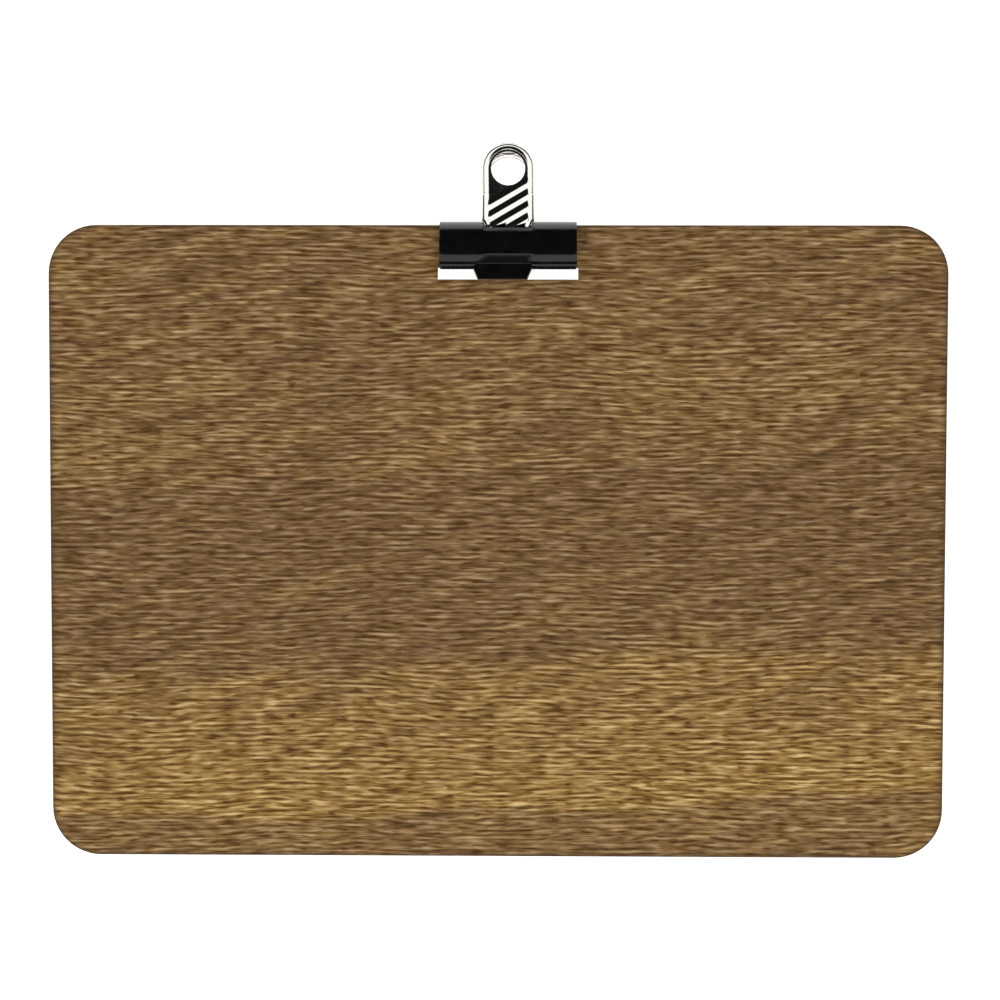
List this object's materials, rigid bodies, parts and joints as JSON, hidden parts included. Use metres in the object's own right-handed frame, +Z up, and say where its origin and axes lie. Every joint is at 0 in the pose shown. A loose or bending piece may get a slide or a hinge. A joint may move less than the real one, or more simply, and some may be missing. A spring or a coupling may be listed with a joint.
{
  "type": "clipboard",
  "caption": "Landscape wooden board with rounded corners and a sprung bulldog clip that grips its top edge and holds paper under its lip.",
  "frame": {"origin": "middle of the footprint, on the table that the clipboard lies on", "axes": "+X along the long edge, to the right; +Y up the board towards the clip; +Z up, out of the writing face, which leans back 2.83 degrees because the clip's rear handle lifts the top edge"},
  "size_m": [0.324, 0.258, 0.0313],
  "materials": {
    "board_core": "dark cut fibreboard edge",
    "oak_veneer": "satin, fine dark grain along the long edge",
    "black_spring_steel": "gloss black enamel",
    "bright_steel": "bright nickel plate"
  },
  "bodies": {
    "board": {"board_core": "board_core", "front_veneer": "oak_veneer", "back_veneer": "oak_veneer"},
    "clip": {"spring_tube": "black_spring_steel"},
    "front_lever": {"front_jaw": "bright_steel"},
    "rear_lever": {"rear_jaw": "bright_steel"}
  },
  "joints": [
    {"name": "clip_slide", "type": "slide", "parent": "board", "child": "clip", "axis": [1, 0, 0], "range_m": [-0.1222, 0.1144]},
    {"name": "front_jaw_hinge", "type": "hinge", "parent": "clip", "child": "front_lever", "pos_m": [0.0039, 0.09983, 0.01829], "axis": [-1, 0, 0], "range_deg": [0, 20], "stiffness_Nm_per_rad": 0.9, "springref_deg": -24.98, "deforming": ["spring_tube"]},
    {"name": "rear_jaw_hinge", "type": "hinge", "parent": "clip", "child": "rear_lever", "pos_m": [0.0039, 0.10022, 0.0103], "axis": [1, 0, 0], "range_deg": [0, 20], "stiffness_Nm_per_rad": 0.9, "springref_deg": -24.98, "deforming": ["spring_tube"]}
  ],
  "couplings": [
    {"joint": "rear_jaw_hinge", "follows": "front_jaw_hinge", "ratio": 1}
  ]
}
